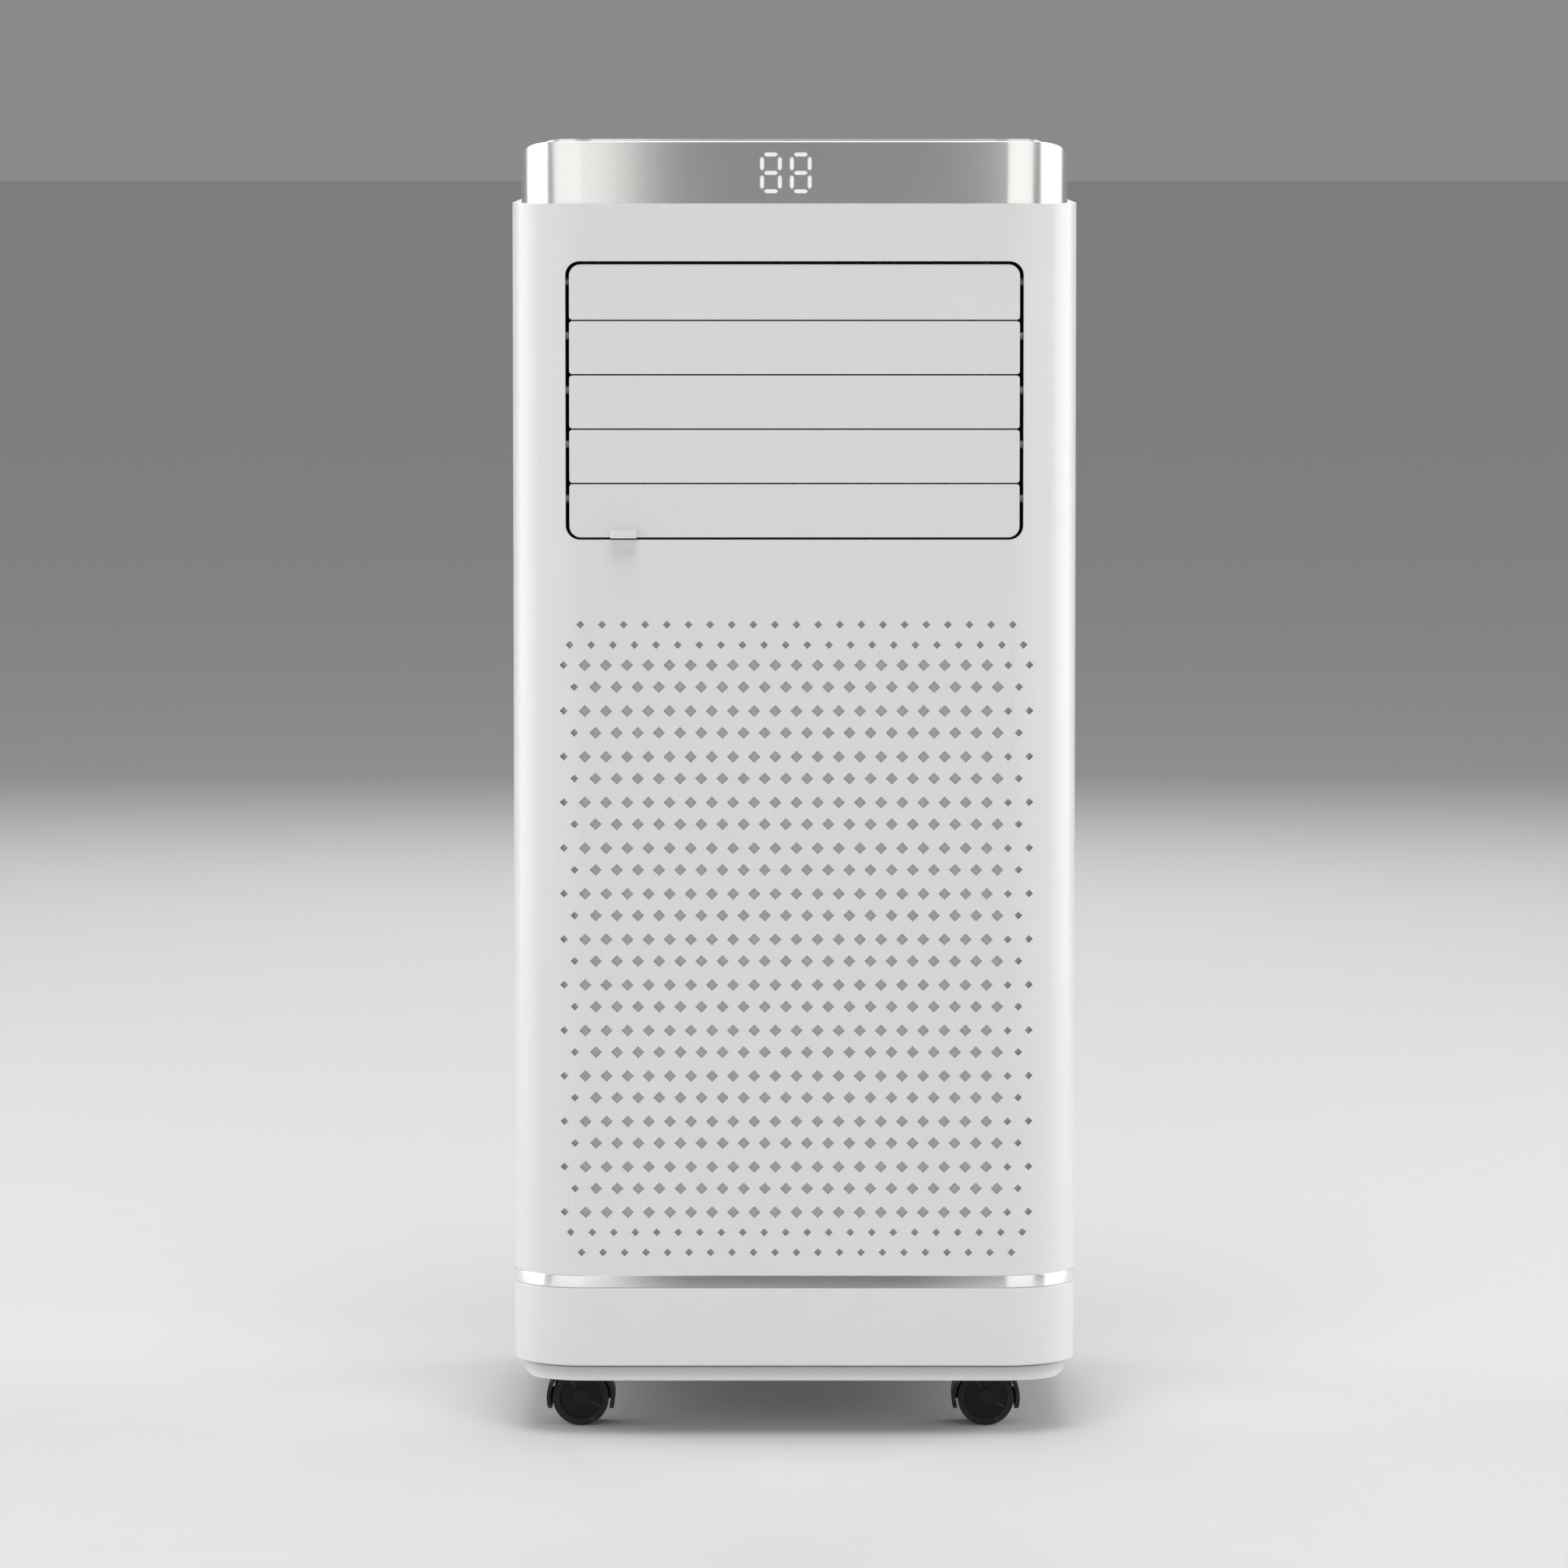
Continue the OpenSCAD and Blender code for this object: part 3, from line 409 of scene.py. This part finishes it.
CASING = (0.80, 0.80, 0.80)
SILVER = (0.90, 0.90, 0.875)
FINISHES = {
    "casing_white": moulded_plastic("casing_white_plastic", CASING),
    "blade_white": moulded_plastic("blade_white_plastic", CASING, roughness=0.33),
    "silver_trim": satin_plate("satin_silver_band", SILVER, BAND_BOW),
    "panel_black": gloss_panel("control_panel_gloss", (0.02, 0.02, 0.022)),
    "button_silver": satin_paint("button_satin_paint", (0.5, 0.51, 0.52)),
    "duct_grey": moulded_plastic("duct_dark_plastic", (0.055, 0.055, 0.057), 0.6, 0.00002,
                                 0.0, 0.1),
    "digit_lens": light_guide("display_light_guide"),
    "circuit_board": circuit_board("board_resist", (0.03, 0.16, 0.07)),
    "liner_felt": felt("liner_fibre", (0.78, 0.78, 0.77)),
    "filter_nylon": woven_nylon("filter_strand", (0.05, 0.05, 0.055)),
    "collar_grey": moulded_plastic("collar_grey_plastic", (0.055, 0.055, 0.058), 0.48, 0.00004,
                                   0.0, 0.3),
    "black_rubber": rubber("rubber_black", (0.025, 0.025, 0.025)),
    "zinc_steel": zinc_sheet("zinc_plated_steel", (0.62, 0.64, 0.66)),
    "foam_plastic": foam_plastic("bead_foam", (0.68, 0.69, 0.71)),
    "fan_plastic": nylon("fan_glass_nylon", (0.05, 0.053, 0.058), 0.42),
    "coil_fins": fin_stock("coil_fin_aluminium", (0.78, 0.80, 0.82)),
    "copper_pipe": drawn_copper("refrigerant_copper", (0.80, 0.42, 0.27)),
    "compressor_black": enamel("compressor_enamel", (0.012, 0.012, 0.012)),
    "caster_black": nylon("caster_nylon", (0.006, 0.006, 0.006), 0.6),
}
# Painted shade: the pan darkens towards the skirt that overhangs it, standing in for the skirt's
# shadow
PAN_PAINTED_SHADE_FINISH = moulded_plastic("base_pan_painted_shade", CASING, shade=PAN_SHADE)
# The strip's middle is greyed by painted shade
STRIP_PAINTED_SHADE_FINISH = satin_plate("satin_silver_strip_painted_shade", SILVER, BAND_BOW, STRIP_LEAN, STRIP_PAINTED_SHADE)
SLOT_OF = {part["node"]: part["material_slot"] for part in frame["record"]["subparts"]}


def smooth(obj, angle=35):
    """Soft shading over curves, crisp at edges sharper than angle."""
    mesh = obj.data
    mesh.polygons.foreach_set("use_smooth", [True] * len(mesh.polygons))
    mesh.set_sharp_from_angle(angle=math.radians(angle))


def finish_node(name, edge=0.3, segments=2, angle=38):
    """Gives a CAD node its finish and rounds its edges."""
    obj = NODES[name]
    obj.data.materials.clear()
    obj.data.materials.append(FINISHES[SLOT_OF[name]])
    weld = obj.modifiers.new("join_points", "WELD")
    weld.merge_threshold = SAME_POINT
    if name in WIDE_FLATS:
        merge = obj.modifiers.new("whole_faces", "DECIMATE")
        merge.decimate_type = "DISSOLVE"
        merge.angle_limit = SAME_FACE
    if edge:
        bevel = obj.modifiers.new("edge_round", "BEVEL")
        bevel.width = edge * MM
        bevel.segments = segments
        bevel.limit_method = "ANGLE"
        bevel.angle_limit = math.radians(angle)
        bevel.miter_outer = "MITER_ARC"
        bevel.harden_normals = False
    flat = obj.modifiers.new("even_shading", "WEIGHTED_NORMAL")
    flat.keep_sharp = True
    flat.weight = 80
    smooth(obj)
    return obj


# Flat walls with a few small holes, whose long thin triangles are merged first
WIDE_FLATS = ("rear_casing", "upper_rear_casing")
# How far each edge is rounded, mm
EDGE = {
    "front_casing": 0.25, "rear_casing": 0.35, "upper_rear_casing": 0.35, "lower_skirt": 1.2,
    "base_pan": 1.6, "trim_strip": 0.3,
    "top_band": 0.25, "top_cover": 0.8, "control_panel": 0.4, "exhaust_collar": 1.0,
    "side_handles": 1.0, "filter_door": 0.5, "drip_tray": 0.8, "display_digits": 0.12,
}


# Fine pieces --------------------------------------------------------------------------

def piece(name, bm, finish, body, smooth_angle=35):
    """A finished mesh object from bm, riding on a body."""
    mesh = bpy.data.meshes.new(name)
    bmesh.ops.recalc_face_normals(bm, faces=bm.faces)
    bm.to_mesh(mesh)
    bm.free()
    obj = bpy.data.objects.new(name, mesh)
    bpy.context.scene.collection.objects.link(obj)
    mesh.materials.append(finish)
    if smooth_angle:
        smooth(obj, smooth_angle)
    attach(obj, body)
    return obj


def add_box(bm, low, high):
    """Closed box between two corners."""
    low, high = Vector(low), Vector(high)
    middle = (low + high) / 2
    made = bmesh.ops.create_cube(bm, size=1.0)["verts"]
    bmesh.ops.scale(bm, verts=made, vec=high - low)
    bmesh.ops.translate(bm, verts=made, vec=middle)
    return made


def sweep(bm, points, radius, sides=12):
    """Closed round bar along points."""
    rings = []
    up = Vector((0.31, 0.53, 0.79))
    for i, here in enumerate(points):
        before = points[max(i - 1, 0)]
        after = points[min(i + 1, len(points) - 1)]
        along = (Vector(after) - Vector(before)).normalized()
        across = along.cross(up).normalized()
        other = along.cross(across)
        rings.append([bm.verts.new(Vector(here) + radius * (
            across * math.cos(2 * math.pi * k / sides) + other * math.sin(2 * math.pi * k / sides)))
            for k in range(sides)])
    for first, second in zip(rings, rings[1:]):
        for k in range(sides):
            n = (k + 1) % sides
            bm.faces.new((first[k], first[n], second[n], second[k]))
    bm.faces.new(rings[0])
    bm.faces.new(reversed(rings[-1]))


def coil_piece(name, node, tubes, fin_step=1.7 * MM):
    """Heat exchanger: a stack of fins on straight tubes with return bends."""
    low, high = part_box(node)
    plate_t = 1.5 * MM
    bend_r, tube_r = 9 * MM, 3.5 * MM
    left, right = low.x + bend_r + tube_r, high.x - bend_r - tube_r
    fins = bmesh.new()
    count = int((right - left - 2 * plate_t) / fin_step)
    for i in range(count):
        x = left + plate_t + (i + 0.5) * fin_step
        add_box(fins, (x, low.y + MM, low.z + MM), (x + 0.25 * MM, high.y - MM, high.z - MM))
    for x in (left, right - plate_t):
        add_box(fins, (x, low.y, low.z), (x + plate_t, high.y, high.z))
    obj = piece(name, fins, FINISHES["coil_fins"], "chassis", None)
    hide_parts(node)
    bars = bmesh.new()
    pitch = (high.z - low.z) / tubes
    y = (low.y + high.y) / 2
    for i in range(tubes):
        z = low.z + (i + 0.5) * pitch
        for side, x in ((-1, left), (1, right)):
            arc = [(x + side * bend_r * math.sin(a), y, z - bend_r * math.cos(a))
                   for a in (math.pi * k / 10 for k in range(11))]
            sweep(bars, arc, tube_r)
        for dz in (-bend_r, bend_r):
            sweep(bars, [(left, y, z + dz), (right, y, z + dz)], tube_r)
    piece(name + "_tubes", bars, FINISHES["copper_pipe"], "chassis")


def filter_weave():
    """Woven filter: crossing strands in a thin rim."""
    low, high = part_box("filter_mesh")
    bm = bmesh.new()
    step, strand = 3.0 * MM, 0.22 * MM
    y = (low.y + high.y) / 2
    rim = 3 * MM
    for a, b in (((low.x, low.z), (high.x, low.z + rim)), ((low.x, high.z - rim), (high.x, high.z)),
                 ((low.x, low.z + rim), (low.x + rim, high.z - rim)),
                 ((high.x - rim, low.z + rim), (high.x, high.z - rim))):
        add_box(bm, (a[0], low.y, a[1]), (b[0], high.y, b[1]))
    across = int((high.x - low.x - 2 * rim) / step)
    upright = int((high.z - low.z - 2 * rim) / step)
    for i in range(1, across):
        x = low.x + rim + i * step
        sweep(bm, [(x, y + strand / 2, low.z + rim), (x, y + strand / 2, high.z - rim)], strand, 6)
    for j in range(1, upright):
        z = low.z + rim + j * step
        sweep(bm, [(low.x + rim, y - strand / 2, z), (high.x - rim, y - strand / 2, z)], strand, 6)
    obj = piece("filter_weave", bm, FINISHES["filter_nylon"], "filter_door")
    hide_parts("filter_mesh")


def ring_mark(bm, centre, radius, start, end, z, line):
    """Flat arc of a printed symbol."""
    steps = 24
    outer, inner = [], []
    for k in range(steps + 1):
        a = start + (end - start) * k / steps
        for row, r in ((outer, radius + line / 2), (inner, radius - line / 2)):
            row.append(bm.verts.new((centre.x + r * math.cos(a), centre.y + r * math.sin(a), z)))
    for k in range(steps):
        bm.faces.new((outer[k], outer[k + 1], inner[k + 1], inner[k]))


def bar_mark(bm, centre, dx, dy, width, height, z, turn=0.0):
    """Flat bar of a printed symbol, off the button's middle by dx, dy."""
    rot = Matrix.Rotation(turn, 3, "Z")
    corners = [rot @ Vector((sx * width / 2, sy * height / 2, 0)) for sx, sy in
               ((-1, -1), (1, -1), (1, 1), (-1, 1))]
    bm.faces.new([bm.verts.new((centre.x + dx + c.x, centre.y + dy + c.y, z)) for c in corners])


def button_marks():
    """Plain printed symbols on the six buttons."""
    ink = printed_mark("button_print", (0.03, 0.03, 0.03))
    line = 0.7 * MM
    for name in ("power", "mode", "fan", "timer", "cooler", "warmer"):
        low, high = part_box(name + "_button")
        centre = (low + high) / 2
        z = high.z + 0.02 * MM
        bm = bmesh.new()
        if name == "power":
            ring_mark(bm, centre, 2.6 * MM, math.radians(120), math.radians(420), z, line)
            bar_mark(bm, centre, 0, 2.0 * MM, line, 2.8 * MM, z)
        elif name == "mode":
            for k in range(3):
                a = math.radians(90 + 120 * k)
                ring_mark(bm, centre + Vector((math.cos(a), math.sin(a), 0)) * 1.7 * MM,
                          1.0 * MM, 0, 2 * math.pi, z, line)
        elif name == "fan":
            for k in range(3):
                a = math.radians(90 + 120 * k)
                bar_mark(bm, centre, 1.6 * MM * math.cos(a), 1.6 * MM * math.sin(a),
                         line, 2.6 * MM, z, a - math.pi / 2)
            ring_mark(bm, centre, 0.5 * MM, 0, 2 * math.pi, z, line / 2)
        elif name == "timer":
            ring_mark(bm, centre, 2.7 * MM, 0, 2 * math.pi, z, line)
            bar_mark(bm, centre, 0, 0.9 * MM, line, 1.8 * MM, z)
            bar_mark(bm, centre, 0.7 * MM, 0, 1.4 * MM, line, z + 0.005 * MM)
        else:
            bar_mark(bm, centre, 0, 0, 4.6 * MM, line, z)
            if name == "warmer":
                bar_mark(bm, centre, 0, 0, line, 4.6 * MM, z + 0.005 * MM)
        piece(name + "_mark", bm, ink, name + "_button", None)


def dress_nodes():
    """Every CAD node that shows gets its finish; the rest are replaced by finer pieces."""
    replaced = {"evaporator_coil", "condenser_coil", "filter_mesh"}
    for name in sorted(NODES):
        if name in replaced:
            continue
        finish_node(name, EDGE.get(name, 0.3))
    # The strip's finish carries painted shade in its middle
    NODES["trim_strip"].material_slots[0].material = STRIP_PAINTED_SHADE_FINISH
    # The pan's finish carries painted shade under the skirt
    NODES["base_pan"].material_slots[0].material = PAN_PAINTED_SHADE_FINISH


dress_nodes()
coil_piece("evaporator_fins", "evaporator_coil", 7)
coil_piece("condenser_fins", "condenser_coil", 8)
filter_weave()
button_marks()


# Studio ----------------------------------------------------------------------------------

def floor():
    """Pale sweep under and around the machine."""
    bm = bmesh.new()
    bm.faces.new([bm.verts.new((sx * FLOOR_REACH, sy * FLOOR_REACH, 0)) for sx, sy in
                  ((-1, -1), (1, -1), (1, 1), (-1, 1))])
    mesh = bpy.data.meshes.new("studio_floor")
    bm.to_mesh(mesh)
    bm.free()
    obj = bpy.data.objects.new("studio_floor", mesh)
    bpy.context.scene.collection.objects.link(obj)
    f = Finish("studio_floor_paper")
    grain = f.noise(30, 4)
    mesh.materials.append(f.surface(base_color=f.mix(grain, (0.78, 0.78, 0.78), (0.8, 0.8, 0.8)),
                                    roughness=0.85 + grain * 0.05))


def softbox(name, angle, distance, width, height, z, power):
    """Tall soft light at an angle from the front, aimed at the machine's middle."""
    data = bpy.data.lights.new(name, "AREA")
    data.shape = "RECTANGLE"
    data.size = width
    data.size_y = height
    data.energy = power
    obj = bpy.data.objects.new(name, data)
    turn = math.radians(angle)
    obj.location = (distance * math.sin(turn), -distance * math.cos(turn), z)
    aim = Vector(LIGHT_AIM) - obj.location
    obj.rotation_euler = aim.to_track_quat("-Z", "Y").to_euler()
    obj.visible_camera = False
    bpy.context.scene.collection.objects.link(obj)


def studio():
    softbox("left_front_light", -41.5, 2.4, 2.7, 1.5, 0.75, 9.8)
    softbox("right_front_light", 43.5, 2.4, 2.1, 1.5, 0.75, 8.2)
    softbox("left_rear_light", -107, 2.4, 2.0, 2.2, 0.8, 33)
    softbox("right_rear_light", 107, 2.4, 2.0, 2.2, 0.8, 36)
    softbox("back_light", 180, 3.4, 2.6, 1.2, 1.9, 30)
    softbox("overhead_light", 0, 2.0, 2.4, 2.4, 4.2, 78)
    world = bpy.data.worlds.new("studio_world")
    world.use_nodes = True
    back = world.node_tree.nodes["Background"]
    back.inputs["Color"].default_value = (0.82, 0.82, 0.82, 1)
    back.inputs["Strength"].default_value = 0.31
    bpy.context.scene.world = world
    bpy.context.scene.view_settings.view_transform = "Standard"


def camera():
    """Eye a little above the machine's top, far back, with a long lens."""
    front = CAD_BOX[0][1] + TAB_REACH
    distance, eye, aside = 4.5, 0.715, -5.5 * MM
    view_width, aim_z = 0.8262, 0.3484
    data = bpy.data.cameras.new("camera")
    data.sensor_width = 36
    data.lens = 36 * math.hypot(distance, eye - aim_z) / view_width
    data.clip_end = 120
    obj = bpy.data.objects.new("camera", data)
    obj.location = (aside, front - distance, eye)
    aim = Vector((aside, front, aim_z)) - obj.location
    obj.rotation_euler = aim.to_track_quat("-Z", "Y").to_euler()
    bpy.context.scene.collection.objects.link(obj)
    bpy.context.scene.camera = obj


floor()
studio()
camera()
